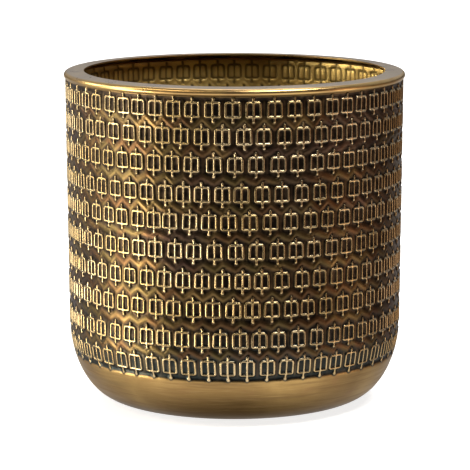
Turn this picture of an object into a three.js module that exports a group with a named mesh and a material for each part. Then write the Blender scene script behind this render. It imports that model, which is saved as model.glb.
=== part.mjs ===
// Brass planter pot: a round sheet-brass cachepot about 200 mm across.
// Units are millimetres, +Z is up, and the origin is on the floor under the middle of the pot.
//
// The pot is a drum of thin sheet on a pressed bowl, closed at the top by a ring with a flat lip.
// Every metal piece is a ring about the Z axis, so each is a closed section turned on a lathe.

import * as THREE from "three";

// Overall size
const rimRadius = 100;          // widest part: the rolled edge of the rim ring
const potHeight = 195;          // floor to the top of the lip
const sheet = 1.0;              // thickness of all the sheet metal
const touchGap = 0.3;           // film of solder or glue between two pieces

// Rim ring: flat lip turned inwards, outer edge rolled round a wire
const lipWidth = 11.7;
const rollRadius = 2.2;
const rollEnd = -120;           // degrees: how far the roll turns under, past its outermost line

// Wall: nearly straight, a little wider at the top than above the bowl's corner
const wallTopRadius = 99.15;
const wallFootRadius = 98.0;

// Bowl: flat underside, then a large soft corner that rises to the straight wall
const footRadius = 70;
const cornerHeight = 48.5;      // where the corner becomes the straight wall, above the underside
const cornerPullOut = 13;       // how far the corner's lower handle runs along the underside
const cornerPullDown = 30.5;    // how far its upper handle hangs down the wall
const joint = 0.68;             // where the wall sheet meets the bowl, as a share of the corner curve
const joggleStart = 0.64;       // where the bowl's sheet starts to step in, below that joint
const lapTop = 0.80;            // where the stepped-in edge of the bowl ends, behind the wall

// Felt pads under the bowl
const padCount = 4;
const padRadius = 9;
const padThickness = 1.7;
const padRingRadius = 46;

// Fineness of the solids
const turnSegments = 96;        // facets around the pot
const padSegments = 24;
const wireSegments = 10;

// Places worked out from the sizes above
const underside = padThickness + touchGap;
const rollCentreRadius = rimRadius - rollRadius;
const rollCentreHeight = potHeight - rollRadius;
const lipInnerRadius = rimRadius - lipWidth;
const wireRadius = rollRadius - sheet - touchGap;

// A point of a section: r is the distance from the axis, z the height.
function at(r, z) {
  return new THREE.Vector2(r, z);
}

// Evenly spaced values from first to last, both included.
function steps(first, last, count) {
  return Array.from({ length: count + 1 }, (_, i) => first + ((last - first) * i) / count);
}

// Points along an arc of a section, from one angle to another, in degrees.
function arc(centreRadius, centreHeight, radius, fromAngle, toAngle, count) {
  return steps(fromAngle, toAngle, count).map((angle) => {
    const a = THREE.MathUtils.degToRad(angle);
    return at(centreRadius + radius * Math.cos(a), centreHeight + radius * Math.sin(a));
  });
}

// The outer face of the soft corner, from the flat underside (0) to the straight wall (1).
const cornerCurve = new THREE.CubicBezierCurve(
  at(footRadius, underside),
  at(footRadius + cornerPullOut, underside),
  at(wallFootRadius, underside + cornerHeight - cornerPullDown),
  at(wallFootRadius, underside + cornerHeight),
);

// A point on the corner, at a given depth below its outer face.
function cornerPoint(share, depth) {
  const point = cornerCurve.getPoint(share);
  const along = cornerCurve.getTangent(share);
  return at(point.x - depth * along.y, point.y + depth * along.x);
}

function cornerLine(first, last, depth, count) {
  return steps(first, last, count).map((share) => cornerPoint(share, depth));
}

// Turns a section about the Z axis. LatheGeometry turns about Y, so the result is stood up,
// and the section is closed on itself unless it starts and ends on the axis.
function turned(section, segments) {
  const startsOnAxis = section[0].x === 0;
  const outline = startsOnAxis ? section : [...section, section[0].clone()];
  const geometry = new THREE.LatheGeometry(outline, segments);
  geometry.rotateX(Math.PI / 2);
  return geometry;
}

function material(colour, metalness, roughness) {
  return new THREE.MeshStandardMaterial({ color: colour, metalness, roughness });
}

function piece(name, geometry, finish) {
  const mesh = new THREE.Mesh(geometry, finish);
  mesh.name = name;
  return mesh;
}

// The rim ring: lip and rolled edge are one sheet of even thickness, soldered onto the wall's edge.
function rimCollar() {
  const section = [
    ...arc(rollCentreRadius, rollCentreHeight, rollRadius, rollEnd, 90, 14),
    at(lipInnerRadius, potHeight),
    at(lipInnerRadius, potHeight - sheet),
    ...arc(rollCentreRadius, rollCentreHeight, rollRadius - sheet, 90, rollEnd, 7),
  ];
  return piece("rim_collar", turned(section, turnSegments), material(0xb08a45, 1, 0.28));
}

// The wire that fills the hollow of the rolled edge and keeps the rim round.
function rimWire() {
  const section = arc(rollCentreRadius, rollCentreHeight, wireRadius, 0, 360, wireSegments);
  section.pop();
  return piece("rim_wire", turned(section, turnSegments), material(0x8a6a35, 1, 0.45));
}

// The height of the roll's underside at a given distance from the axis.
function rollUnderside(r) {
  return rollCentreHeight - Math.sqrt(rollRadius ** 2 - (r - rollCentreRadius) ** 2);
}

// The drum wall: one sheet from the joint on the corner up to the underside of the roll.
// The pressed pattern stands less than a millimetre from this face and is left off the solid.
function wallShell() {
  const wallTop = rollUnderside(wallTopRadius - sheet) - touchGap;
  const start = joint + touchGap / cornerCurve.getLength();
  const section = [
    ...cornerLine(start, 1, 0, 6),
    at(wallTopRadius, wallTop),
    at(wallTopRadius - sheet, wallTop),
    ...cornerLine(1, start, sheet, 6),
  ];
  return piece("wall_shell", turned(section, turnSegments), material(0x7a5a2c, 1, 0.4));
}

// The bowl: flat floor, soft corner, and an edge stepped inwards to lap behind the wall.
function baseBowl() {
  const lapDepth = sheet + touchGap;
  const section = [
    at(0, underside),
    ...cornerLine(0, joint, 0, 10),
    ...cornerLine(joint, lapTop, lapDepth, 3),
    ...cornerLine(lapTop, joint, lapDepth + sheet, 3),
    ...cornerLine(joggleStart, 0, sheet, 9),
    at(0, underside + sheet),
  ];
  return piece("base_bowl", turned(section, turnSegments), material(0xa07c3c, 1, 0.38));
}

// One felt pad, with a small bevel round the face that stands on the floor.
function footPad(index) {
  const bevel = 0.4;
  const section = [
    at(0, 0),
    at(padRadius - bevel, 0),
    at(padRadius, bevel),
    at(padRadius, padThickness),
    at(0, padThickness),
  ];
  const pad = piece(`foot_pad_${index + 1}`, turned(section, padSegments), material(0x3a332b, 0, 0.95));
  const angle = (Math.PI * (2 * index + 1)) / padCount;
  pad.position.set(padRingRadius * Math.cos(angle), padRingRadius * Math.sin(angle), 0);
  return pad;
}

const pot = new THREE.Group();
pot.add(rimCollar(), rimWire(), wallShell(), baseBowl());
for (let i = 0; i < padCount; i += 1) {
  pot.add(footPad(i));
}

export default pot;
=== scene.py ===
import math

import bpy
import numpy as np
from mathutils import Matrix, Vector


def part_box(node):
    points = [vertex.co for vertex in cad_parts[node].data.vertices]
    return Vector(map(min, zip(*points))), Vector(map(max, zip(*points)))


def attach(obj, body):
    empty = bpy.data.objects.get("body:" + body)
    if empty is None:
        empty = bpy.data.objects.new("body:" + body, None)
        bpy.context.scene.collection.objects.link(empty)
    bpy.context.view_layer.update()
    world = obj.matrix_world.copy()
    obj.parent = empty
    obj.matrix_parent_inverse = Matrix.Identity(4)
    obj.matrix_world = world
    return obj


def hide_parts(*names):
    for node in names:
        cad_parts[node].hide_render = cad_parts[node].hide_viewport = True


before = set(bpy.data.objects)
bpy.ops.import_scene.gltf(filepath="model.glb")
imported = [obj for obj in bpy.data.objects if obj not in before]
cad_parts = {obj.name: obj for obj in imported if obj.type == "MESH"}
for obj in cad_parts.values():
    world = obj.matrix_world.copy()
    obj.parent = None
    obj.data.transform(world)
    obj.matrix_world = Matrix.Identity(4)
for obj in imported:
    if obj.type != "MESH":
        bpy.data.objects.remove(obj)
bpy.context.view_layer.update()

# A brass planter pot: a pressed sheet wall, a rim ring with a flat lip, a plain base and felt pads.
# It is laid out in millimetres and built in metres. Angles run round from the front (-Y) towards
# the right (+X).
MM = 0.001


# ---- sizes taken from the frame


def box_mm(node):
    """Lowest and highest corner of a CAD node, in millimetres."""
    low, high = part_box(node)
    return np.array(low) / MM, np.array(high) / MM


rim_high = box_mm("rim_collar")[1]
wall_low, wall_high = box_mm("wall_shell")
bowl_low = box_mm("base_bowl")[0]

RIM_RADIUS = rim_high[0]      # outermost line of the rolled edge
POT_HEIGHT = rim_high[2]      # top of the lip
UNDERSIDE = bowl_low[2]       # flat underside of the bowl, on its felt pads
JOINT_HEIGHT = wall_low[2]    # lower edge of the wall sheet
WALL_TOP_RADIUS = wall_high[0]

# Rim ring
LIP_WIDTH = 11.7
LIP_RISE = 0.33               # the lip slopes up this much to its inner edge
ROLL_RADIUS = 2.2
ROLL_END = -120               # degrees: how far the roll turns under
SHEET = 1.0
ROLL_CENTRE = np.array([RIM_RADIUS - ROLL_RADIUS, POT_HEIGHT - ROLL_RADIUS])
# Where the wall's outer face meets the underside of the roll.
WALL_TOP = ROLL_CENTRE[1] - math.sqrt(ROLL_RADIUS**2 - (WALL_TOP_RADIUS - ROLL_CENTRE[0]) ** 2)

# The soft corner: a Bezier curve from the flat underside up to the straight wall, as (r, z).
FOOT_RADIUS = 70.0
WALL_FOOT_RADIUS = 98.0
CORNER_HEIGHT = 48.5
CORNER_PULL_OUT = 13.0        # how far its lower handle runs along the underside
CORNER_PULL_DOWN = 30.5       # how far its upper handle hangs down the wall
CORNER = np.array(
    [
        (FOOT_RADIUS, UNDERSIDE),
        (FOOT_RADIUS + CORNER_PULL_OUT, UNDERSIDE),
        (WALL_FOOT_RADIUS, UNDERSIDE + CORNER_HEIGHT - CORNER_PULL_DOWN),
        (WALL_FOOT_RADIUS, UNDERSIDE + CORNER_HEIGHT),
    ]
)

# The pressed pattern: rows of small frames, each with an upright bar through its middle.
ROWS = 10
MOTIFS = 54                   # frames in each row
TOP_ROW_HEIGHT = 183.4
PITCH_DOWN = 16.28
ROW_DRIFT = np.array([0.0, 1.2, 1.8, 1.3, 1.9, 1.6, 1.2, 1.1, -0.1, 0.0])
ROW_Z = TOP_ROW_HEIGHT - PITCH_DOWN * np.arange(ROWS) + ROW_DRIFT    # the frames' middles
# The rows were struck by hand, so the pattern creeps round as it goes down, by this in degrees.
ROW_CREEP = np.radians([-0.5, -0.2, 0.3, -1.0, -1.8, -2.8, -3.8, -3.6, -4.6, -5.6])
# Uneven spacing along a row, in shares of the step: waves as (waves round the pot, size)
ROW_WAVES = ((2, 0.09), (5, 0.06))
ROW_JITTER = 0.03
PATTERN_RADIUS = 98.5
PITCH = 2 * math.pi * PATTERN_RADIUS / MOTIFS

FRAME_HALF_WIDTH = 3.95       # to the middle of the raised line
FRAME_HALF_HEIGHT = 4.05
FRAME_FLARE = 0.06            # how much wider it is at its foot, and narrower at its top
FRAME_TOP_ROUND = 1.2
FRAME_FOOT_ROUND = 0.85
LINE_FOOT = 1.0               # half width of a raised line at its foot
LINE_FLATNESS = 2.5           # how flat its crest is
LINE_FALL = 1.6               # how softly its sides run out
BAR_WIDTH = 0.9               # the bar's width, as a share of the frame's line
TIP_SWELL = 0.3               # how much wider the bar's upper tip is
TIP_SPAN = (4.8, 6.6)         # and between which heights it swells
DROP_SWELL = 0.45             # the same of its lower tip
DROP_SPAN = (5.2, 6.8)
LAST_DROP_SWELL = 0.9         # and what the last row's lower tips swell besides
LAST_DROP_SPAN = (5.4, 8.2)
TIP_TOP = 6.5                 # the middles of the bar's rounded ends
TIP_FOOT = -6.7
ZIGZAG_REACH = 10.2           # from a frame's middle to the fold of the zigzag past its tip
ZIGZAG_HALF_WIDTH = 3.5
UPRIGHT_HALF_WIDTH = 1.3      # of the low upright ridges between frames
UPRIGHT_LEVEL = 0.5           # their height, as a share of the zigzag's
UPRIGHT_FADE = (4.2, 6.6)     # where they end, above and below the frames' middles
TOP_BAND_SHINE = 0.7          # how bare of patina the sheet above the first row is
TOP_BAND_EDGE = (5.0, 8.0)    # where that sheet sets in, above the first row's middles
FOOT_EDGE = (6.0, 8.6)        # where the plain foot sets in, below the last row's middles
FOOT_TONGUE = 0.9             # how much lower it sets in under each bar
FOOT_TONGUE_WIDTH = 1.6
SOFTNESS = 6.0                # how tightly the raised lines run into each other
FAR = 3.0                     # lines further off than this many half widths have no effect
# Spread of the hand work: tilt, width, height, corner rounding, lean of the tips, line height
HAND_SPREAD = np.array([0.014, 0.016, 0.02, 0.15, 0.08, 0.03])

# Heights of the relief, from the wall's plain face
GROOVE = -0.82
PANEL = -0.72
LATTICE_RISE = 0.42
PLAIN = 0.0
TOP_BAND = -0.4               # the sheet above the first row, under the roll
LINE_TOP = 0.03
INNER_SINK = 0.95             # sheet thickness between the two faces
INNER_SHARE = 0.75            # how much of the relief shows on the inside
DENT = 0.08                   # size of the slow waves that leave the pot not quite round

# The brazed seam at the back
SEAM_LEVEL = -0.25
SEAM_COVER = 0.85             # how much of the relief it fills
SEAM_HALF_WIDTH = 0.9
SEAM_WANDER = 0.25            # how far it strays from upright
SEAM_WAVE = 9.0               # how slowly it strays: height for one radian

# The wall's mesh: half of the columns of one motif and of the rows of one band, in millimetres
# from the middle of the frame. They crowd where the raised lines are.
COLUMN_OFFSETS = np.array([0, 0.35, 0.7, 1.05, 1.9, 2.95, 3.3, 3.62, 3.95, 4.28, 4.6, 5.0])
ROW_OFFSETS = np.array([0, 1.3, 2.4, 3.0, 3.35, 3.7, 4.05, 4.4, 4.75, 5.2, 5.8, 6.4, 7.0, 7.6])
HALF = len(COLUMN_OFFSETS)    # columns from the middle of a motif to its neighbour's edge
COLUMNS = 2 * HALF * MOTIFS
STRETCH_START = 5.2           # past this the rows of the mesh stretch to fill their band
TURN_START = 6.9              # past this the columns turn from one row's frames to the next's
PLAIN_ROWS = 4                # rows of the mesh below the pattern
SECTORS = 6                   # the wall is one sheet, meshed in equal upright panels

# UV layout of a wall panel. Its outer and inner faces stand side by side, as (left, width), and
# the strips that join their edges stand between them, as (left, low, high).
OUTER_UV = (0.005, 0.69)
INNER_UV = (0.715, 0.28)
FACE_UV_LOW = 0.01
FACE_UV_HEIGHT = 0.98
TOP_STRIP_UV = (0.699, 0.01, 0.45)
FOOT_STRIP_UV = (0.699, 0.55, 0.99)
LEFT_STRIP_UV = (0.704, 0.01, 0.99)
RIGHT_STRIP_UV = (0.709, 0.01, 0.99)
STRIP_UV_WIDTH = 0.003

# Base bowl, as shares of the corner curve
JOINT = 0.68                  # where the wall sheet meets the bowl
JOGGLE_START = 0.64
LAP_TOP = 0.80
# and in millimetres
LAP_DEPTH = 1.95              # how far its stepped-in edge lies behind the wall's face
SEAM_GAP = 0.03               # between the bowl and the wall's lower edge

# Turned pieces
SEGMENTS = 432                # facets round the rim and the base
PAD_SEGMENTS = 96
LIP_EDGE_ROUND = 0.1          # rounding of the lip's inner edge
DENT_SPAN = (60, 90)          # radii between which the base takes up the wall's dents
RIM_SWAY = 0.07               # hand-made unevenness of the rim, sideways and up
RIM_LIFT = 0.05
PAD_EDGE_ROUND = 0.5
PAD_LUMP = 0.05
PAD_LUMP_WIDTH = 1.5          # how far in from a pad's edge it is lumpy
UV_MARGIN = 0.02              # between the strips of a turned piece, as a share of a strip

# Metal colours
BRASS_GOLD = (0.50, 0.34, 0.13)
BRASS_BROWN = (0.34, 0.22, 0.085)
BRASS_UMBER = (0.19, 0.12, 0.06)
BRASS_COPPER = (0.34, 0.185, 0.085)
BRASS_PALE = (0.62, 0.44, 0.2)
RIM_GOLD = (0.62, 0.43, 0.17)
RIM_BROWN = (0.44, 0.28, 0.12)
# painted sheen: the grey of pale surroundings mirrored in the flat of the lip
LIP_PAINTED_SHEEN_GREY = (0.42, 0.36, 0.29)
LINE_GOLD = (0.50, 0.37, 0.17)
LINE_PALE = (0.68, 0.55, 0.34)
LATTICE_OLIVE = (0.15, 0.108, 0.042)
LATTICE_RED = (0.14, 0.075, 0.033)
LATTICE_GOLD = (0.34, 0.22, 0.085)
PATINA_BLACK = (0.018, 0.014, 0.011)
# dark brown of the wall's patina, also used for the painted contact shade at the foot of the base
PATINA_AND_SHADE_BROWN = (0.065, 0.045, 0.028)
PATINA_PURPLE = (0.07, 0.045, 0.045)
PATINA_BLUE = (0.03, 0.05, 0.055)
INSIDE_OLIVE = (0.46, 0.31, 0.10)
INSIDE_GOLD = (0.80, 0.59, 0.21)
INSIDE_SHADE = (0.16, 0.125, 0.06)
INSIDE_DARK = (0.05, 0.035, 0.015)
SOLDER = (0.42, 0.27, 0.12)
FELT_DARK = (0.02, 0.017, 0.014)
FELT_LIGHT = (0.075, 0.065, 0.055)

# Surroundings
WORLD_FRONT = (0.028, 0.025, 0.023)
WORLD_BACK = (0.50, 0.50, 0.51)
WORLD_STRIP = (0.02, 0.018, 0.016)
WORLD_RIGHT = (0.15, 0.075, 0.035)
WORLD_BELOW_FRONT = (1.35, 1.25, 1.15)
WORLD_BELOW_BACK = (0.5, 0.47, 0.45)
WORLD_UNDER = (0.1, 0.08, 0.06)
BACKDROP = (0.9, 0.9, 0.9)
LIGHT_AIM = (0, 0, 0.1)
# Soft boxes: azimuth (0 in front, positive to the right), elevation, distance, width, height,
# power in watts, and colour
SOFTBOXES = {
    "key_left": (-80, 2, 1.2, 0.28, 1.15, 10, (1.0, 0.92, 0.78)),
    "key_low": (-66, -16, 0.7, 0.14, 0.15, 1.8, (1.0, 0.86, 0.64)),
    "key_over": (-104, 14, 1.2, 0.3, 0.25, 4.5, (1.0, 0.9, 0.72)),
    "key_mid": (-55, 42, 1.2, 0.9, 0.16, 4, (1.0, 0.86, 0.62)),
    "key_high": (42, 56, 1.2, 0.7, 0.3, 13, (1.0, 0.97, 0.92)),
    "fill_right": (76, 4, 1.5, 0.4, 0.8, 0.95, (1.0, 0.6, 0.4)),
    "fill_low": (80, -17, 0.8, 0.25, 0.2, 0.42, (1.0, 0.74, 0.56)),
    "fill_back": (180, 60, 1.6, 0.8, 0.8, 6, (1.0, 0.93, 0.84)),
    "floor_light": (180, 62, 3.2, 3.5, 3.5, 150, (1.0, 1.0, 1.0)),
}
FLOOR_HALF = 12.0
FLOOR_GREY = (0.5, 0.5, 0.5)
FLOOR_GLOW = 0.8

# Camera
CAMERA_LENS = 206.8           # millimetres
CAMERA_SENSOR = 36.0
CAMERA_DISTANCE = 1.6         # from a point on the pot's axis
CAMERA_PIVOT_HEIGHT = 0.0987  # height of that point
CAMERA_ELEVATION = 9.65       # degrees
CAMERA_AIM = (0.0003, 0, 0.0967)

TINY = 1e-12                  # keeps a division from being by zero
ANY_PHASE = 6.3               # phases of waves are drawn from about one turn


# ---- small tools


def smooth(low, high, value):
    """0 below low, 1 above high, and a smooth step between."""
    share = np.clip((value - low) / (high - low), 0, 1)
    return share * share * (3 - 2 * share)


def corner_point(share):
    """Point on the soft corner, from the underside (0) to the wall (1)."""
    s = np.asarray(share)[..., None]
    a, b, c, d = CORNER
    return (1 - s) ** 3 * a + 3 * (1 - s) ** 2 * s * b + 3 * (1 - s) * s**2 * c + s**3 * d


# The pot's outer face in section, from the underside up to the top of the wall, and its normals
SKIN = np.append(corner_point(np.linspace(0, 1, 400)), [[WALL_TOP_RADIUS, WALL_TOP + 1]], axis=0)
SKIN_NORMAL = np.gradient(SKIN, axis=0)[:, ::-1] * (1, -1)
SKIN_NORMAL /= np.linalg.norm(SKIN_NORMAL, axis=1)[:, None]


def on_skin(z, lift):
    """(r, z) of a point lifted off the outer face at height z, along the face's normal."""
    radius = np.interp(z, SKIN[:, 1], SKIN[:, 0])
    out = np.interp(z, SKIN[:, 1], SKIN_NORMAL[:, 0])
    up = np.interp(z, SKIN[:, 1], SKIN_NORMAL[:, 1])
    return radius + lift * out, z + lift * up


def ring_points(radius, height, angle):
    """Points in space from a radius, a height and an angle round from the front."""
    return np.stack([radius * np.sin(angle), -radius * np.cos(angle), height], -1)


def wobble(angle, height, seed, waves):
    """Smooth unevenness of about one unit: waves round the pot, each with its own phase."""
    rng = np.random.default_rng(seed)
    total = np.zeros(np.broadcast(angle, height).shape)
    for _ in range(waves):
        turns = rng.integers(2, 9)
        rise = rng.uniform(-0.05, 0.05)
        size = rng.uniform(0.3, 1)
        total += size * np.sin(turns * angle + rise * height + rng.uniform(0, ANY_PHASE))
    return total / math.sqrt(waves)


def make_mesh(name, points, patches, values):
    """A smooth mesh from points in millimetres, patches of faces given as (corner points, corner
    normals, corner UVs), and values stored on the points."""
    mesh = bpy.data.meshes.new(name)
    mesh.vertices.add(len(points))
    mesh.vertices.foreach_set("co", (points * MM).ravel())
    corners = np.concatenate([faces.ravel() for faces, _, _ in patches])
    sizes = np.concatenate([np.full(len(faces), faces.shape[1]) for faces, _, _ in patches])
    mesh.loops.add(len(corners))
    mesh.loops.foreach_set("vertex_index", corners.astype(np.int32))
    mesh.polygons.add(len(sizes))
    starts = np.append(0, np.cumsum(sizes)[:-1])
    mesh.polygons.foreach_set("loop_start", starts.astype(np.int32))
    mesh.polygons.foreach_set("use_smooth", np.ones(len(sizes), dtype=bool))
    mesh.update(calc_edges=True)
    uv = np.concatenate([uv.reshape(-1, 2) for _, _, uv in patches])
    mesh.uv_layers.new(name="OFBake").data.foreach_set("uv", uv.ravel())
    for key, value in values.items():
        mesh.attributes.new(key, "FLOAT", "POINT").data.foreach_set("value", value)
    normals = np.concatenate([normals.reshape(-1, 3) for _, normals, _ in patches])
    mesh.normals_split_custom_set(normals.tolist())
    piece = bpy.data.objects.new(name, mesh)
    bpy.context.scene.collection.objects.link(piece)
    return piece


def flat_normals(points, faces):
    """The normal of each triangle, repeated for its corners."""
    a, b, c = (points[faces[:, i]] for i in range(3))
    normal = np.cross(b - a, c - a)
    normal /= np.linalg.norm(normal, axis=1)[:, None] + TINY
    return np.repeat(normal[:, None, :], 3, axis=1)


def grid_faces(index):
    """Quads over a grid of point numbers, lines by columns, facing away from the axis when the
    lines run down and the columns run round to the right."""
    a, b, c, d = index[:-1, :-1], index[:-1, 1:], index[1:, 1:], index[1:, :-1]
    return np.stack([a, d, c, b], -1).reshape(-1, 4)


def grid_normals(points):
    """Normals of a grid of points, on the same side as grid_faces."""
    normal = np.cross(np.gradient(points, axis=0), np.gradient(points, axis=1))
    return normal / (np.linalg.norm(normal, axis=-1, keepdims=True) + TINY)


# ---- the pressed wall


def motif_centres():
    """Angle of each frame's middle, rows by frames: even spacing with hand-struck unevenness."""
    rng = np.random.default_rng(7)
    step = 2 * math.pi / MOTIFS
    slots = np.arange(MOTIFS) * step
    centres = np.zeros((ROWS, MOTIFS))
    for k in range(ROWS):
        uneven = np.zeros(MOTIFS)
        for turns, size in ROW_WAVES:
            uneven += size * step * np.sin(turns * slots + rng.uniform(0, ANY_PHASE))
        uneven += rng.normal(0, ROW_JITTER * step, MOTIFS)
        stagger = (k % 2) * step / 2
        centres[k] = slots + stagger + ROW_CREEP[k] + uneven - uneven[0]
    return centres


CENTRES = motif_centres()


def centre_of(row, number):
    """Angle of a frame by its number, which may run past either end of the row."""
    return CENTRES[row][number % MOTIFS] + 2 * math.pi * (number // MOTIFS)


def row_columns(row):
    """Angle of every column of the mesh at a row's frames, and the frame it belongs to."""
    offsets = np.concatenate([COLUMN_OFFSETS, [PITCH / 2]]) / PATTERN_RADIUS
    shifted = np.arange(COLUMNS) - HALF * (row % 2)
    number = (shifted + HALF) // (2 * HALF)
    side = shifted - number * 2 * HALF
    angle = centre_of(row, number) + np.sign(side) * offsets[np.abs(side)]
    edge = side == -HALF
    between = (centre_of(row, number) + centre_of(row, number - 1)) / 2
    return np.where(edge, between, angle), number


def mesh_lines():
    """The mesh's rows from the top of the wall down: (height, row of frames, the row its columns
    turn towards, and how far they have turned)."""
    middles = (ROW_Z[:-1] + ROW_Z[1:]) / 2
    tops = np.append(WALL_TOP, middles)
    feet = np.append(middles, ROW_Z[-1] - PITCH_DOWN / 2)
    lines = []
    for k in range(ROWS):
        for side, reach in ((1, tops[k] - ROW_Z[k]), (-1, ROW_Z[k] - feet[k])):
            stretch = (reach - STRETCH_START) / (PITCH_DOWN / 2 - STRETCH_START)
            far = STRETCH_START + (ROW_OFFSETS - STRETCH_START) * stretch
            part = np.append(np.where(ROW_OFFSETS > STRETCH_START, far, ROW_OFFSETS), reach)
            neighbour = min(max(k - side, 0), ROWS - 1)
            turn = smooth(TURN_START, 2 * reach - TURN_START, part)
            rows = [(ROW_Z[k] + side * p, k, neighbour, t) for p, t in zip(part, turn)]
            if side == 1:
                # upwards, the middle is left to the other side, and the end to the band above
                rows = rows[:0:-1] if k == 0 else rows[-2:0:-1]
            lines.extend(rows)
    for z in np.linspace(lines[-1][0], JOINT_HEIGHT, PLAIN_ROWS + 1)[1:]:
        lines.append((z, ROWS - 1, ROWS - 1, 0.0))
    return lines


def frame_lines(row, number, angle, z, hand):
    """The raised lines of one row's frames: 1 on a crest and 0 off it, with each point's offset
    from the middle of its frame."""
    tilt, wider, taller, rounder, lean, _ = hand[row][number % MOTIFS].T
    dx = (angle - centre_of(row, number)) * PATTERN_RADIUS
    dy = np.full(COLUMNS, z - ROW_Z[row])
    x = (dx + tilt * dy) / (1 + wider)
    y = (dy - tilt * dx) / (1 + taller)
    # the frame: a rounded box, a little wider at its foot
    half_width = FRAME_HALF_WIDTH + FRAME_FLARE * np.clip(-y / FRAME_HALF_HEIGHT, -1, 1)
    rounding = np.where(y > 0, FRAME_TOP_ROUND * (1 + rounder), FRAME_FOOT_ROUND)
    px = np.abs(x) - half_width + rounding
    py = np.abs(y) - FRAME_HALF_HEIGHT + rounding
    corner = np.hypot(np.maximum(px, 0), np.maximum(py, 0))
    ring = np.abs(corner + np.minimum(np.maximum(px, py), 0) - rounding)
    # the bar: it swells a little to its upper tip, and to a drop at its lower one
    bent = x - lean * np.maximum(np.abs(y) - FRAME_HALF_HEIGHT, 0)
    past = np.maximum(y - TIP_TOP, 0) + np.maximum(TIP_FOOT - y, 0)
    width = BAR_WIDTH + TIP_SWELL * smooth(*TIP_SPAN, y) + DROP_SWELL * smooth(*DROP_SPAN, -y)
    if row == ROWS - 1:
        # the last row's bars run out into the plain foot of the wall
        past = np.maximum(y - TIP_TOP, 0)
        width = width + LAST_DROP_SWELL * smooth(*LAST_DROP_SPAN, -y)
    bar = np.hypot(bent, past) / width
    # a soft minimum of the two distances, then the line's own section
    close = np.exp(-SOFTNESS * np.minimum(np.stack([ring, bar]) / LINE_FOOT, FAR))
    near = np.clip(-np.log(close.sum(axis=0)) / SOFTNESS, 0, 1)
    return (1 - near**LINE_FLATNESS) ** LINE_FALL, dx, dy


def zigzag(row, numbers, angle, z):
    """The low broad ridge that runs in a zigzag between a row of frames and the next one down."""
    x = angle * PATTERN_RADIUS
    here = np.abs(x - centre_of(row, numbers[row]) * PATTERN_RADIUS)
    there = np.abs(x - centre_of(row + 1, numbers[row + 1]) * PATTERN_RADIUS)
    low = ROW_Z[row] - ZIGZAG_REACH
    high = ROW_Z[row + 1] + ZIGZAG_REACH
    fold = low + (high - low) * here / (here + there + TINY)
    return 1 - smooth(0.0, ZIGZAG_HALF_WIDTH, np.abs(z - fold))


def uprights(row, numbers, angle, z):
    """The low upright ridges between the frames of one row."""
    number = numbers[row]
    x = angle * PATTERN_RADIUS
    here = centre_of(row, number) * PATTERN_RADIUS
    beside = centre_of(row, number + np.where(x > here, 1, -1)) * PATTERN_RADIUS
    across = 1 - smooth(0.0, UPRIGHT_HALF_WIDTH, np.abs(x - (here + beside) / 2))
    return UPRIGHT_LEVEL * across * (1 - smooth(*UPRIGHT_FADE, np.abs(z - ROW_Z[row])))


def relief(angle, z, row, numbers, hand):
    """One line of the mesh: the shares of raised line, lattice and plain sheet, the height of the
    ground between the lines, and the height of the surface, in mm from the plain face."""
    crest, dx, dy = frame_lines(row, numbers[row], angle, z, hand)
    lattice = uprights(row, numbers, angle, z)
    for other in (row - 1, row + 1):
        if 0 <= other < ROWS:
            crest = np.maximum(crest, frame_lines(other, numbers[other], angle, z, hand)[0])
            lattice = np.maximum(lattice, zigzag(min(row, other), numbers, angle, z))
    plain = np.zeros_like(crest)
    if row == 0:
        plain = smooth(*TOP_BAND_EDGE, dy)
    if row == ROWS - 1:
        tongue = FOOT_TONGUE * np.exp(-((dx / FOOT_TONGUE_WIDTH) ** 2))
        plain = smooth(*FOOT_EDGE, -dy - tongue)
    in_frame = (np.abs(dx) < FRAME_HALF_WIDTH) & (np.abs(dy) < FRAME_HALF_HEIGHT)
    ground = np.where(in_frame, PANEL, GROOVE + LATTICE_RISE * lattice)
    level = TOP_BAND if row == 0 else PLAIN
    ground = ground + (level - ground) * plain
    lattice = np.where(in_frame, 0, lattice) * (1 - plain)
    top = np.maximum(LINE_TOP + hand[row][numbers[row] % MOTIFS][:, 5], ground)
    lift = ground + (top - ground) * crest
    if row == 0:
        plain = TOP_BAND_SHINE * plain
    else:
        crest = crest * (1 - plain)
    return crest, lattice, plain, ground, lift


def wall_layers():
    """The wall's outer face as arrays, lines of the mesh by columns."""
    rng = np.random.default_rng(19)
    hand = rng.normal(0, 1, (ROWS, MOTIFS, len(HAND_SPREAD))).clip(-2, 2) * HAND_SPREAD
    angles, numbers = zip(*(row_columns(k) for k in range(ROWS)))
    keys = ("crest", "lattice", "plain", "ground", "lift", "angle", "z")
    layers = {key: [] for key in keys}
    for z, row, other, turn in mesh_lines():
        angle = angles[row] + (angles[other] - angles[row]) * turn
        found = relief(angle, z, row, numbers, hand)
        for key, value in zip(keys, (*found, angle, np.full(COLUMNS, z))):
            layers[key].append(value)
    layers = {key: np.array(value) for key, value in layers.items()}
    # the rolled sheet's two edges meet at the back, brazed together and filed
    across = (np.mod(layers["angle"], 2 * math.pi) - math.pi) * PATTERN_RADIUS
    across = across + SEAM_WANDER * np.sin(layers["z"] / SEAM_WAVE)
    layers["seam"] = np.exp(-((across / SEAM_HALF_WIDTH) ** 2))
    layers["lift"] += (SEAM_LEVEL - layers["lift"]) * SEAM_COVER * layers["seam"]
    return layers


def dent(angle, z):
    """Slow waves in the sheet, because it isn't perfectly round."""
    return DENT * wobble(angle, z, seed=3, waves=5)


def sheet_face(layers, lift):
    """Points of one face of the wall, and their normals away from the axis."""
    radius, height = on_skin(layers["z"], lift + dent(layers["angle"], layers["z"]))
    points = ring_points(radius, height, layers["angle"])
    wrapped = np.concatenate([points[:, -1:], points, points[:, :1]], axis=1)
    return points, grid_normals(wrapped)[:, 1:-1]


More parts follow.
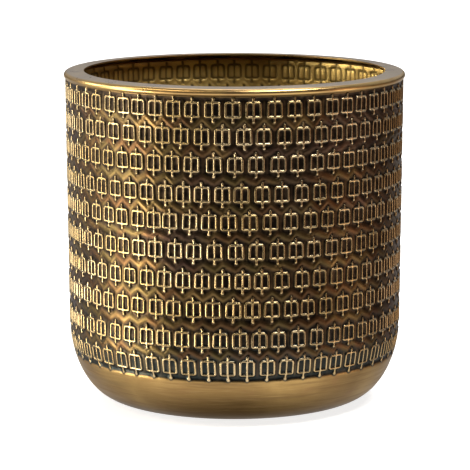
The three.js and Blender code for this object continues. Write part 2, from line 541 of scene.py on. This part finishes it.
def zipped_edge(many, few, turned_over, layout):
    """Triangles between an edge of the fine outer face and the coarser inner one, with their UVs
    in an upright strip."""
    left, low, high = layout
    count = len(many)
    share = np.concatenate([np.arange(count), np.arange(0, count, 2)]) / (count - 1)
    side = np.repeat([left, left + STRIP_UV_WIDTH], [count, len(few)])
    uv = np.stack([side, low + (high - low) * share], -1)
    a = np.arange(0, count - 1, 2)
    d = count + a // 2
    triples = ((a, a + 1, d), (a + 1, d + 1, d), (a + 1, a + 2, d + 1))
    picks = np.concatenate([np.stack(triple, -1) for triple in triples])
    if turned_over:
        picks = picks[:, ::-1]
    return np.concatenate([many, few])[picks], uv[picks]


def wall_panel(number, layers, outer, inner):
    """One upright panel of the wall: both faces, and the narrow strips that join their edges."""
    wide = COLUMNS // SECTORS
    take = np.arange(number * wide, (number + 1) * wide + 1) % COLUMNS
    few = take[::2] // 2
    front_points, front_normals = (a[:, take].reshape(-1, 3) for a in outer)
    back_points, back_normals = (a[:, few].reshape(-1, 3) for a in inner)
    points = np.concatenate([front_points, back_points])
    normals = np.concatenate([front_normals, -back_normals])
    front = np.arange(len(front_points)).reshape(-1, len(take))
    back = len(front_points) + np.arange(len(back_points)).reshape(-1, len(few))
    across = np.linspace(0, 1, len(take))[None, :] + 0 * layers["z"][:, take]
    rise = (layers["z"][:, take] - JOINT_HEIGHT) / (WALL_TOP - JOINT_HEIGHT)
    v = FACE_UV_LOW + FACE_UV_HEIGHT * rise
    front_uv, back_uv = (
        np.stack([left + width * across, v], -1) for left, width in (OUTER_UV, INNER_UV)
    )
    uv = np.concatenate([front_uv.reshape(-1, 2), back_uv[::2, ::2].reshape(-1, 2)])
    patches = []
    for faces in (grid_faces(front), grid_faces(back)[:, ::-1]):
        patches.append((faces, normals[faces], uv[faces]))
    edges = [
        zipped_edge(front[0], back[0], False, TOP_STRIP_UV),
        zipped_edge(front[-1], back[-1], True, FOOT_STRIP_UV),
        zipped_edge(front[:, 0], back[:, 0], True, LEFT_STRIP_UV),
        zipped_edge(front[:, -1], back[:, -1], False, RIGHT_STRIP_UV),
    ]
    for faces, edge_uv in edges:
        patches.append((faces, flat_normals(points, faces), edge_uv))
    values = {"inside": np.repeat([0.0, 1.0], [len(front_points), len(back_points)])}
    for key in ("crest", "lattice", "plain", "seam"):
        both = layers[key][:, take].ravel(), layers[key][::2, take[::2]].ravel()
        values[key] = np.concatenate(both)
    return make_mesh(f"wall_panel_{number + 1}", points, patches, values)


def make_wall():
    """The patterned wall, in equal upright panels that meet edge to edge."""
    layers = wall_layers()
    outer = sheet_face(layers, layers["lift"])
    every_other = {key: value[::2, ::2] for key, value in layers.items()}
    ground = every_other["ground"]
    inner_lift = ground + (every_other["lift"] - ground) * INNER_SHARE - INNER_SINK
    inner = sheet_face(every_other, inner_lift)
    finish = wall_brass()
    for number in range(SECTORS):
        finish_piece(wall_panel(number, layers, outer, inner), "wall_shell", finish)


# ---- turned pieces


def arc(centre, radius, first, last, count):
    """Points along an arc of a section, from one angle to another in degrees."""
    angle = np.radians(np.linspace(first, last, count))
    return np.stack([centre[0] + radius * np.cos(angle), centre[1] + radius * np.sin(angle)], -1)


def line(start, end, count):
    share = np.linspace(0, 1, count)[:, None]
    return np.array(start) + (np.array(end) - np.array(start)) * share


def eased(start, corner, end):
    """A small rounded corner of a section."""
    share = np.linspace(0, 1, 5)[:, None]
    start, corner, end = np.array([start, corner, end])
    return (1 - share) ** 2 * start + 2 * share * (1 - share) * corner + share**2 * end


def offset_corner(first, last, depth, count):
    """Points of the soft corner between two shares of its curve, at a depth below its face."""
    share = np.linspace(first, last, count)
    nearby = 0.001
    along = corner_point(share + nearby) - corner_point(share - nearby)
    along /= np.linalg.norm(along, axis=1)[:, None]
    return corner_point(share) + np.stack([-along[:, 1], along[:, 0]], -1) * depth


def turned_piece(name, runs, segments, warp, centre=(0, 0)):
    """A section turned about an upright axis, which it starts and ends on unless it closes on
    itself. Each run is a smooth stretch of it, given as (points, UV layout), and begins where the
    last one ended. warp moves the points by hand-made unevenness, and ring_uv reads the layouts."""
    angle = np.linspace(0, 2 * math.pi, segments + 1)[None, :]
    section = np.concatenate([run[:-1] for run, _ in runs])
    if runs[-1][0][-1, 0] == 0:
        section = np.append(section, runs[-1][0][-1:], axis=0)
    on_axis = section[:, 0] == 0
    # numbers of the points, lines of the section by columns round the ring
    index = np.zeros((len(section), segments + 1), int)
    count = 0
    for i, alone in enumerate(on_axis):
        index[i] = count if alone else count + np.arange(segments + 1) % segments
        count += 1 if alone else segments
    radius, height = warp(section[:, :1] + 0 * angle, section[:, 1:] + 0 * angle, angle)
    grid = ring_points(radius, height, angle)
    points = np.zeros((count, 3))
    points[index] = grid
    points[:, :2] += centre
    patches = []
    start = 0
    for run, layout in runs:
        rows = np.arange(start, start + len(run)) % len(section)
        start += len(run) - 1
        patches.extend(turned_run(run, layout, grid[rows], index[rows], on_axis[rows]))
    return make_mesh(name, points, patches, {})


def turned_run(run, layout, grid, index, on_axis):
    """The faces of one run of a turned piece: triangles where it meets the axis, quads elsewhere."""
    segments = grid.shape[1] - 1
    wrapped = np.concatenate([grid[:, -2:-1], grid, grid[:, 1:2]], axis=1)
    normals = -grid_normals(wrapped)[:, 1:-1]
    for row, beside in ((0, 1), (-1, -2)):
        if on_axis[row]:
            normals[row] = (0, 0, np.sign(normals[beside, 0, 2]))
    length = np.append(0, np.cumsum(np.linalg.norm(np.diff(run, axis=0), axis=1)))
    share = length / length[-1]
    # corners of each face: along the ring, then along the section
    i, j = np.meshgrid(np.arange(len(run) - 1), np.arange(segments), indexing="ij")
    corners = [(i, j), (i, j + 1), (i + 1, j + 1), (i + 1, j)]
    faces = np.stack([index[a, b] for a, b in corners], -1).reshape(-1, 4)
    face_normals = np.stack([normals[a, b] for a, b in corners], 2).reshape(-1, 4, 3)
    uv = np.stack([ring_uv(layout, share, run, a, b, j, segments) for a, b in corners], 2)
    uv = uv.reshape(-1, 4, 2)
    ends_on_axis = faces[:, 2] == faces[:, 3]
    starts_on_axis = faces[:, 0] == faces[:, 1]
    patches = []
    for chosen, columns in (
        (ends_on_axis, [0, 1, 2]),
        (starts_on_axis, [0, 2, 3]),
        (~ends_on_axis & ~starts_on_axis, [0, 1, 2, 3]),
    ):
        if chosen.any():
            parts = (part[chosen][:, columns] for part in (faces, face_normals, uv))
            patches.append(tuple(parts))
    return patches


def ring_uv(layout, share, run, row, column, first_column, segments):
    """UVs of the corners of a turned piece's faces. A disc layout is (middle u, middle v, radius).
    A strip layout is (left, low, width, height, strips), and folds the ring into strips that lie
    one above the other."""
    if len(layout) == 3:
        middle_u, middle_v, size = layout
        reach = run[:, 0].max()
        radius = size * run[row, 0] / reach
        angle = 2 * math.pi * column / segments
        return np.stack([middle_u + radius * np.sin(angle), middle_v - radius * np.cos(angle)], -1)
    left, low, width, height, strips = layout
    wide = segments // strips
    strip = first_column // wide
    u = left + width * (column - strip * wide) / wide
    v = low + height * (strip + UV_MARGIN + (1 - 2 * UV_MARGIN) * share[row]) / strips
    return np.stack([u, v], -1)


# ---- materials


class Shader:
    """A node material with one metal or cloth surface, and short ways to add nodes to it."""

    def __init__(self, name, metallic):
        self.material = bpy.data.materials.new(name)
        self.material.use_nodes = True
        self.tree = self.material.node_tree
        self.surface = self.tree.nodes["Principled BSDF"]
        self.surface.inputs["Metallic"].default_value = metallic

    def node(self, kind, inputs, **settings):
        made = self.tree.nodes.new(kind)
        for key, value in settings.items():
            setattr(made, key, value)
        for key, value in inputs.items():
            self.feed(made.inputs[key], value)
        return made

    def feed(self, socket, value):
        """Links a socket to another, or sets it to a number or colour."""
        if isinstance(value, bpy.types.NodeSocket):
            self.tree.links.new(value, socket)
        elif isinstance(value, tuple) and len(value) == 3 and socket.type == "RGBA":
            socket.default_value = (*value, 1)
        else:
            socket.default_value = value

    def maths(self, operation, first, second=0.0):
        inputs = {0: first, 1: second}
        return self.node("ShaderNodeMath", inputs, operation=operation).outputs[0]

    def add(self, first, second):
        return self.maths("ADD", first, second)

    def multiply(self, first, second):
        return self.maths("MULTIPLY", first, second)

    def blend(self, share, first, second):
        """A colour between two, by a share."""
        inputs = {0: share, 6: first, 7: second}
        return self.node("ShaderNodeMix", inputs, data_type="RGBA").outputs[2]

    def blend_numbers(self, share, first, second):
        return self.node("ShaderNodeMix", {0: share, 2: first, 3: second}).outputs[0]

    def between(self, value, low, high, to_low=0.0, to_high=1.0):
        """Maps a value's range to another, with soft ends."""
        inputs = {0: value, 1: low, 2: high, 3: to_low, 4: to_high}
        return self.node("ShaderNodeMapRange", inputs, interpolation_type="SMOOTHSTEP").outputs[0]

    def over(self, colour, layer, mask, low, high, strength=1.0):
        """A colour laid over another as a mask rises from low to high."""
        return self.blend(self.between(mask, low, high, 0.0, strength), colour, layer)

    def layer(self, name):
        """A value stored on the mesh."""
        return self.node("ShaderNodeAttribute", {}, attribute_name=name).outputs["Fac"]

    def noise(self, place, scale, detail, seed):
        inputs = {"Vector": place, "Scale": scale, "Detail": detail, "W": seed}
        return self.node("ShaderNodeTexNoise", inputs, noise_dimensions="4D").outputs[0]

    def place(self):
        return self.node("ShaderNodeTexCoord", {}).outputs["Object"]

    def height_of(self, vector):
        return self.node("ShaderNodeSeparateXYZ", {0: vector}).outputs[2]

    def turned_place(self, along):
        """Coordinates for marks that run round the pot: slow along the ring, quick across it."""
        x, y, z = self.node("ShaderNodeSeparateXYZ", {0: self.place()}).outputs
        squares = self.add(self.multiply(x, x), self.multiply(y, y))
        inputs = {
            0: self.multiply(x, along),
            1: self.multiply(y, along),
            2: self.add(self.maths("SQRT", squares), z),
        }
        return self.node("ShaderNodeCombineXYZ", inputs).outputs[0]

    def bumped(self, height, distance):
        """Fine relief of the surface, as deep as a distance in metres."""
        inputs = {"Height": height, "Distance": distance, "Strength": 1.0}
        self.feed(self.surface.inputs["Normal"], self.node("ShaderNodeBump", inputs).outputs[0])

    def finish(self, colour, roughness):
        self.feed(self.surface.inputs["Base Color"], colour)
        self.feed(self.surface.inputs["Roughness"], roughness)
        return self.material


def antique_brass(shader):
    """Colour, roughness and brushed grain of plain antiqued brass. The grain runs round the pot."""
    place = shader.place()
    blotches = shader.noise(place, scale=28.0, detail=4.0, seed=1.0)
    stains = shader.noise(place, scale=75.0, detail=4.0, seed=2.0)
    streaks = shader.noise(shader.turned_place(0.06), scale=1100.0, detail=3.0, seed=3.0)
    bands = shader.noise(shader.turned_place(0.1), scale=260.0, detail=3.0, seed=4.0)
    colour = shader.over(BRASS_BROWN, BRASS_GOLD, blotches, 0.35, 0.68)
    colour = shader.over(colour, BRASS_UMBER, bands, 0.45, 0.75, 0.55)
    colour = shader.over(colour, BRASS_COPPER, stains, 0.56, 0.74, 0.5)
    colour = shader.over(colour, BRASS_PALE, streaks, 0.45, 0.8, 0.35)
    roughness = shader.between(bands, 0.3, 0.75, 0.30, 0.46)
    return colour, roughness, streaks


def wall_brass():
    """The pressed wall: rubbed-bright raised lines over a dark patina that fills the ground."""
    shader = Shader("wall_brass", 1.0)
    place = shader.place()
    height = shader.height_of(place)
    blotches = shader.noise(place, scale=22.0, detail=3.0, seed=11.0)
    specks = shader.noise(place, scale=260.0, detail=4.0, seed=12.0)
    hue = shader.noise(place, scale=13.0, detail=2.0, seed=13.0)
    patches = shader.noise(place, scale=65.0, detail=3.0, seed=14.0)
    worn = shader.noise(place, scale=48.0, detail=3.0, seed=15.0)
    plain_colour, plain_roughness, streaks = antique_brass(shader)
    crest = shader.layer("crest")
    rubbed = shader.between(crest, 0.5, 0.98)
    bare = shader.between(shader.layer("plain"), 0.35, 1.0)
    inside = shader.layer("inside")

    # the ground: nearly black, bluer towards the foot of the wall
    colour = shader.over(PATINA_BLACK, PATINA_AND_SHADE_BROWN, specks, 0.4, 0.7)
    foot = shader.between(shader.add(height, shader.multiply(hue, 0.05)), 0.05, 0.09, 0.5, 0.0)
    colour = shader.blend(foot, colour, PATINA_BLUE)
    # the low ridges of the lattice: olive, reddish, purple-brown and worn to gold by turns
    ridge = shader.over(LATTICE_OLIVE, LATTICE_RED, patches, 0.42, 0.58)
    ridge = shader.over(ridge, PATINA_PURPLE, blotches, 0.5, 0.66, 0.7)
    ridge = shader.over(ridge, LATTICE_GOLD, worn, 0.54, 0.7, 0.8)
    colour = shader.over(colour, ridge, shader.layer("lattice"), 0.0, 1.0, 0.7)
    # the raised lines
    raised = shader.over(LINE_GOLD, LINE_PALE, blotches, 0.35, 0.7)
    raised = shader.over(raised, BRASS_UMBER, specks, 0.5, 0.72, 0.35)
    colour = shader.blend(rubbed, colour, raised)
    # the plain sheet above and below the pattern, and the seam
    bare_ground = shader.multiply(bare, shader.maths("SUBTRACT", 1.0, rubbed))
    colour = shader.blend(bare_ground, colour, plain_colour)
    colour = shader.over(colour, SOLDER, shader.layer("seam"), 0.25, 0.8, 0.8)
    # the inside: dull olive gold, with painted shade lower down, and dark where the lines were
    # pressed out
    dull = shader.over(INSIDE_OLIVE, INSIDE_GOLD, blotches, 0.3, 0.7)
    dull = shader.blend(shader.between(height, 0.150, 0.180, 0.6, 0.0), dull, INSIDE_SHADE)
    dull = shader.over(dull, INSIDE_DARK, crest, 0.2, 0.8, 0.7)
    colour = shader.blend(inside, colour, dull)

    # rubbed lines are smoother than the ground, and the inside is duller than both
    roughness = shader.add(0.27, shader.multiply(specks, 0.22))
    roughness = shader.add(roughness, shader.multiply(rubbed, -0.12))
    roughness = shader.blend_numbers(bare, roughness, plain_roughness)
    roughness = shader.blend_numbers(inside, roughness, 0.5)
    shader.bumped(shader.add(shader.multiply(specks, 0.7), shader.multiply(streaks, 0.3)), 0.00008)
    return shader.finish(colour, roughness)


def bowl_brass():
    """The plain base: satin antique brass, with painted contact shade close to the floor."""
    shader = Shader("base_brass", 1.0)
    colour, roughness, streaks = antique_brass(shader)
    height = shader.height_of(shader.place())
    # painted shade: the brass darkens towards the underside, standing in for the contact shadow on
    # the floor
    colour = shader.blend(shader.between(height, 0.0025, 0.012, 0.7, 0.0), colour, PATINA_AND_SHADE_BROWN)
    shader.bumped(streaks, 0.00006)
    return shader.finish(colour, roughness)


def rim_brass():
    """The rim: smoothly polished round the ring, browner in blotches."""
    shader = Shader("rim_brass", 1.0)
    place = shader.place()
    blotches = shader.noise(place, scale=24.0, detail=4.0, seed=21.0)
    stains = shader.noise(place, scale=90.0, detail=4.0, seed=22.0)
    streaks = shader.noise(shader.turned_place(0.03), scale=1500.0, detail=3.0, seed=23.0)
    colour = shader.over(RIM_BROWN, RIM_GOLD, blotches, 0.36, 0.66)
    colour = shader.over(colour, BRASS_COPPER, stains, 0.52, 0.75, 0.3)
    colour = shader.over(colour, BRASS_UMBER, streaks, 0.5, 0.8, 0.2)
    # painted reflection: where the flat of the lip faces up it is greyed, for the pale sheen it
    # mirrors
    upwards = shader.height_of(shader.node("ShaderNodeNewGeometry", {}).outputs["Normal"])
    colour = shader.over(colour, LIP_PAINTED_SHEEN_GREY, upwards, 0.9, 0.995, 0.8)
    shader.bumped(streaks, 0.000015)
    return shader.finish(colour, shader.between(stains, 0.3, 0.75, 0.27, 0.38))


def wire_brass():
    """Drawn wire, dull and dark inside the roll."""
    shader = Shader("wire_brass", 1.0)
    drawn = shader.noise(shader.turned_place(0.02), scale=2400.0, detail=2.0, seed=31.0)
    tarnish = shader.noise(shader.place(), scale=60.0, detail=3.0, seed=32.0)
    colour = shader.over(INSIDE_DARK, BRASS_BROWN, tarnish, 0.35, 0.7)
    shader.bumped(drawn, 0.00004)
    return shader.finish(colour, shader.between(tarnish, 0.3, 0.7, 0.4, 0.55))


def pad_felt():
    """Pressed wool felt."""
    shader = Shader("pad_felt", 0.0)
    fibres = shader.noise(shader.place(), scale=1400.0, detail=5.0, seed=41.0)
    lumps = shader.noise(shader.place(), scale=300.0, detail=3.0, seed=42.0)
    colour = shader.over(FELT_DARK, FELT_LIGHT, fibres, 0.35, 0.7)
    shader.surface.inputs["Sheen Weight"].default_value = 0.3
    shader.bumped(shader.add(fibres, lumps), 0.0003)
    return shader.finish(colour, shader.between(lumps, 0.3, 0.7, 0.88, 0.98))


# ---- the pieces


def finish_piece(piece, node, material):
    """Joins a piece to the frame: its place in the model and its finish, and hides the CAD node it
    stands for.
    """
    piece.data.materials.append(material)
    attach(piece, "root")
    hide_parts(node)


def make_rim():
    """The rim ring: flat lip, and an outer edge rolled round the wire."""
    top = POT_HEIGHT
    bottom = POT_HEIGHT - SHEET
    lip_edge = RIM_RADIUS - LIP_WIDTH
    eased_edge = lip_edge + LIP_EDGE_ROUND
    outer = arc(ROLL_CENTRE, ROLL_RADIUS, ROLL_END, 90, 44)
    inner = arc(ROLL_CENTRE, ROLL_RADIUS - SHEET, 90, ROLL_END, 24)
    flat = line((ROLL_CENTRE[0], top), (eased_edge, top), 12)
    upper = eased((eased_edge, top), (lip_edge, top), (lip_edge, top - LIP_EDGE_ROUND))
    lower = eased((lip_edge, bottom + LIP_EDGE_ROUND), (lip_edge, bottom), (eased_edge, bottom))
    face = np.concatenate([outer, flat[1:], upper[1:], lower])
    under = np.concatenate([line(lower[-1], inner[0], 8), inner[1:]])
    end = line(inner[-1], outer[0], 3)
    runs = [
        (face, (0.005, 0.005, 0.99, 0.62, 6)),
        (under, (0.005, 0.635, 0.99, 0.33, 6)),
        (end, (0.005, 0.975, 0.99, 0.02, 6)),
    ]

    def warp(radius, height, angle):
        sway = RIM_SWAY * wobble(angle, 0, seed=41, waves=5)
        lift = RIM_LIFT * wobble(angle, 0, seed=42, waves=6)
        inwards = np.clip((ROLL_CENTRE[0] - radius) / (ROLL_CENTRE[0] - lip_edge), 0, 1)
        return radius + sway, height + (lift + LIP_RISE) * inwards

    piece = turned_piece("rim_ring", runs, SEGMENTS, warp)
    finish_piece(piece, "rim_collar", rim_brass())


def make_bowl():
    """The base: flat floor, soft corner, and an edge stepped in to lap behind the wall."""
    foot = CORNER[0]
    outside = offset_corner(0.0, JOINT, 0, 60)
    outside[-1, 1] = JOINT_HEIGHT - SEAM_GAP
    outside[-1, 0] = np.interp(outside[-1, 1], SKIN[:, 1], SKIN[:, 0])
    lap_out = offset_corner(JOINT, LAP_TOP, LAP_DEPTH, 10)
    lap_in = offset_corner(LAP_TOP, JOINT, LAP_DEPTH + SHEET, 10)
    inside = offset_corner(JOGGLE_START, 0, SHEET, 48)
    runs = [
        (line((0, foot[1]), foot, 20), (0.17, 0.83, 0.16)),
        (outside, (0.005, 0.005, 0.99, 0.4, 4)),
        (line(outside[-1], lap_out[0], 4), (0.35, 0.68, 0.64, 0.02, 4)),
        (lap_out, (0.35, 0.71, 0.64, 0.06, 4)),
        (line(lap_out[-1], lap_in[0], 3), (0.35, 0.78, 0.64, 0.02, 4)),
        (np.concatenate([lap_in, inside]), (0.005, 0.415, 0.99, 0.25, 4)),
        (line(inside[-1], (0, foot[1] + SHEET), 20), (0.52, 0.89, 0.1)),
    ]

    def warp(radius, height, angle):
        return radius + dent(angle, height) * smooth(*DENT_SPAN, radius), height

    piece = turned_piece("base_bowl_spun", runs, SEGMENTS, warp)
    finish_piece(piece, "base_bowl", bowl_brass())


def make_pads():
    """Four felt pads under the base, with soft edges and slightly lumpy sides."""
    finish = pad_felt()
    for number in range(1, 5):
        node = f"foot_pad_{number}"
        low, high = box_mm(node)
        middle = (low + high) / 2
        radius = (high[0] - low[0]) / 2
        thick = high[2] - low[2]
        soft = PAD_EDGE_ROUND
        foot_edge = eased((radius - soft, 0), (radius, 0), (radius, soft))
        top_edge = eased((radius, thick - soft / 2), (radius, thick), (radius - soft / 2, thick))
        runs = [
            (line((0, 0), foot_edge[0], 8), (0.25, 0.25, 0.22)),
            (np.concatenate([foot_edge, top_edge]), (0.01, 0.55, 0.98, 0.4, 2)),
            (line(top_edge[-1], (0, thick), 8), (0.75, 0.25, 0.22)),
        ]

        def warp(r, z, angle, seed=50 + number, radius=radius):
            lump = PAD_LUMP * wobble(angle, 0, seed, waves=5)
            return r + lump * smooth(radius - PAD_LUMP_WIDTH, radius, r), z

        pad = turned_piece(f"felt_pad_{number}", runs, PAD_SEGMENTS, warp, middle[:2])
        finish_piece(pad, node, finish)


# ---- light, floor and camera


def aim(thing, place, target):
    thing.location = place
    thing.rotation_euler = (Vector(target) - Vector(place)).to_track_quat("-Z", "Y").to_euler()


def around(azimuth, elevation, distance):
    """A place at an azimuth, elevation and distance from the middle of the pot."""
    a, e = math.radians(azimuth), math.radians(elevation)
    out = Vector((math.sin(a) * math.cos(e), -math.cos(a) * math.cos(e), math.sin(e)))
    return Vector(LIGHT_AIM) + out * distance


def softbox(name, azimuth, elevation, distance, width, height, power, colour):
    light = bpy.data.lights.new(name, "AREA")
    light.shape = "RECTANGLE"
    light.size = width
    light.size_y = height
    light.energy = power
    light.color = colour
    lamp = bpy.data.objects.new(name, light)
    aim(lamp, around(azimuth, elevation, distance), LIGHT_AIM)
    bpy.context.scene.collection.objects.link(lamp)
    return lamp


def make_lights():
    for name, settings in SOFTBOXES.items():
        lamp = softbox(name, *settings)
        # the light that whitens the floor isn't mirrored in the metal
        lamp.visible_glossy = name != "floor_light"


def make_world():
    """Plain surroundings for the metal to reflect: dark in front of the pot, reddish at its right,
    a pale wall behind it, and pale floor below."""
    world = bpy.data.worlds.new("studio")
    world.use_nodes = True
    tree = world.node_tree

    def blend(share, first, second):
        node = tree.nodes.new("ShaderNodeMix")
        node.data_type = "RGBA"
        tree.links.new(share, node.inputs[0])
        for socket, colour in ((node.inputs[6], first), (node.inputs[7], second)):
            if isinstance(colour, tuple):
                socket.default_value = (*colour, 1)
            else:
                tree.links.new(colour, socket)
        return node.outputs[2]

    def fade(value, low, high, first, second):
        """A colour that goes from first to second as a value goes from low to high."""
        step = tree.nodes.new("ShaderNodeMapRange")
        step.interpolation_type = "SMOOTHSTEP"
        tree.links.new(value, step.inputs[0])
        step.inputs[1].default_value = low
        step.inputs[2].default_value = high
        return blend(step.outputs[0], first, second)

    # each direction is split into its parts to the right, to the back and up, from -1 to 1
    split = tree.nodes.new("ShaderNodeSeparateXYZ")
    place = tree.nodes.new("ShaderNodeTexCoord")
    tree.links.new(place.outputs["Generated"], split.inputs[0])
    towards_right, towards_back, up = split.outputs
    colour = fade(towards_back, -0.9, 0.9, WORLD_FRONT, WORLD_BACK)
    colour = fade(towards_right, 0.3, 0.85, colour, WORLD_RIGHT)
    # a dark strip at eye level all round, and the studio's walls above it
    colour = fade(up, -0.09, -0.02, colour, WORLD_STRIP)
    walls = fade(towards_back, -0.2, 0.7, WORLD_FRONT, WORLD_BACK)
    colour = fade(up, 0.09, 0.16, colour, walls)
    # the floor, and the shade right under the pot
    below = fade(towards_back, -0.4, 0.3, WORLD_BELOW_FRONT, WORLD_BELOW_BACK)
    colour = fade(up, -0.2, -0.5, colour, below)
    colour = fade(up, -0.75, -0.98, colour, WORLD_UNDER)
    # what the camera itself sees past the floor's edge is as pale as the floor there
    seen = tree.nodes.new("ShaderNodeLightPath").outputs["Is Camera Ray"]
    colour = blend(seen, colour, BACKDROP)
    tree.links.new(colour, tree.nodes["Background"].inputs["Color"])
    bpy.context.scene.world = world


def make_floor():
    """A large pale floor. The metal reflects the pale surroundings below it instead."""
    half = FLOOR_HALF
    mesh = bpy.data.meshes.new("floor")
    corners = [(-half, -half, 0), (half, -half, 0), (half, half, 0), (-half, half, 0)]
    mesh.from_pydata(corners, [], [(0, 1, 2, 3)])
    floor = bpy.data.objects.new("floor", mesh)
    bpy.context.scene.collection.objects.link(floor)
    shader = Shader("pale_floor", 0.0)
    shader.surface.inputs["Specular IOR Level"].default_value = 0.1
    shader.surface.inputs["Emission Color"].default_value = (1, 1, 1, 1)
    shader.surface.inputs["Emission Strength"].default_value = FLOOR_GLOW
    mesh.materials.append(shader.finish(FLOOR_GREY, 0.9))
    floor.visible_glossy = False
    floor.visible_shadow = False


def make_camera():
    camera = bpy.data.objects.new("camera", bpy.data.cameras.new("camera"))
    camera.data.lens = CAMERA_LENS
    camera.data.sensor_width = CAMERA_SENSOR
    bpy.context.scene.collection.objects.link(camera)
    elevation = math.radians(CAMERA_ELEVATION)
    back = CAMERA_DISTANCE * math.cos(elevation)
    rise = CAMERA_DISTANCE * math.sin(elevation)
    aim(camera, (0, -back, CAMERA_PIVOT_HEIGHT + rise), CAMERA_AIM)
    bpy.context.scene.camera = camera


make_camera()
make_world()
make_lights()
make_floor()
make_rim()
make_wall()
make_bowl()
make_pads()

# The wire inside the roll stays the CAD solid, with a finish of its own.
wire_finish = wire_brass()
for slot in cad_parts["rim_wire"].material_slots:
    slot.material = wire_finish

bpy.context.scene.view_settings.view_transform = "Standard"
